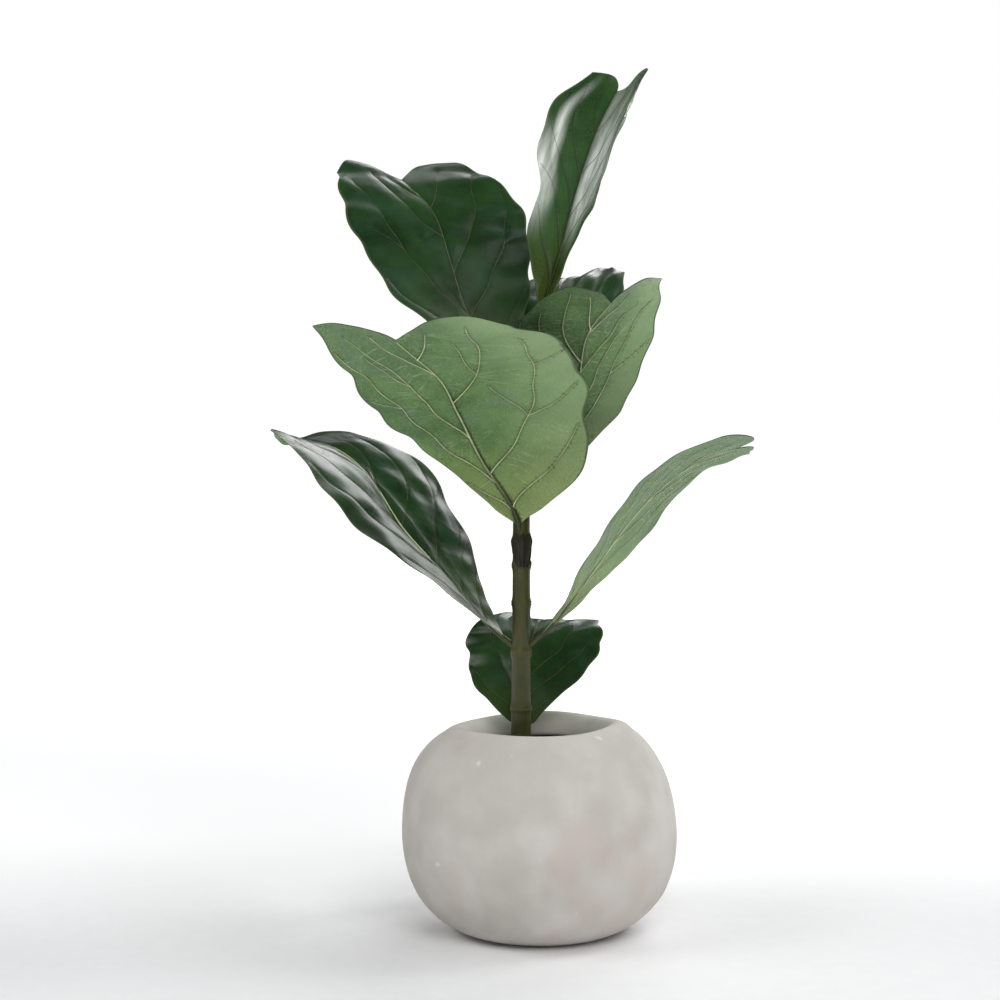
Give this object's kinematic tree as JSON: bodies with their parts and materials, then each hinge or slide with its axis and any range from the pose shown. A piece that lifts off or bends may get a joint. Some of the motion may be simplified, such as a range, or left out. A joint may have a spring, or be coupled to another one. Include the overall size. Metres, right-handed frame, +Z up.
{
  "type": "potted fiddle leaf fig",
  "caption": "Young fiddle leaf fig on a single upright stem, with large waved leaves, in a round hand-formed planter filled with soil.",
  "frame": {"origin": "centre of the pot's flat base", "axes": "+Z up along the stem, -Y towards the front as the plant is pictured, +X to its right"},
  "size_m": [0.3838, 0.4423, 0.6817],
  "materials": {
    "pot": "matt cast stone, cloudy pale warm grey",
    "soil": "dark crumbly potting mix rich in bark",
    "stem": "smooth olive bark with paler edges and ring scars",
    "sheath": "dry dark brown papery scale",
    "leaf": "glossy dark green above, satin grey-green below",
    "young_leaf": "very glossy mid green"
  },
  "bodies": {
    "root": {"pot": "pot", "soil": "soil", "stem": "stem", "sheath": "sheath", "leaf_a": "leaf", "leaf_b": "young_leaf", "leaf_c": "leaf", "leaf_d": "leaf", "leaf_e": "leaf", "leaf_f": "leaf", "leaf_g": "leaf", "leaf_h": "leaf"}
  },
  "joints": []
}
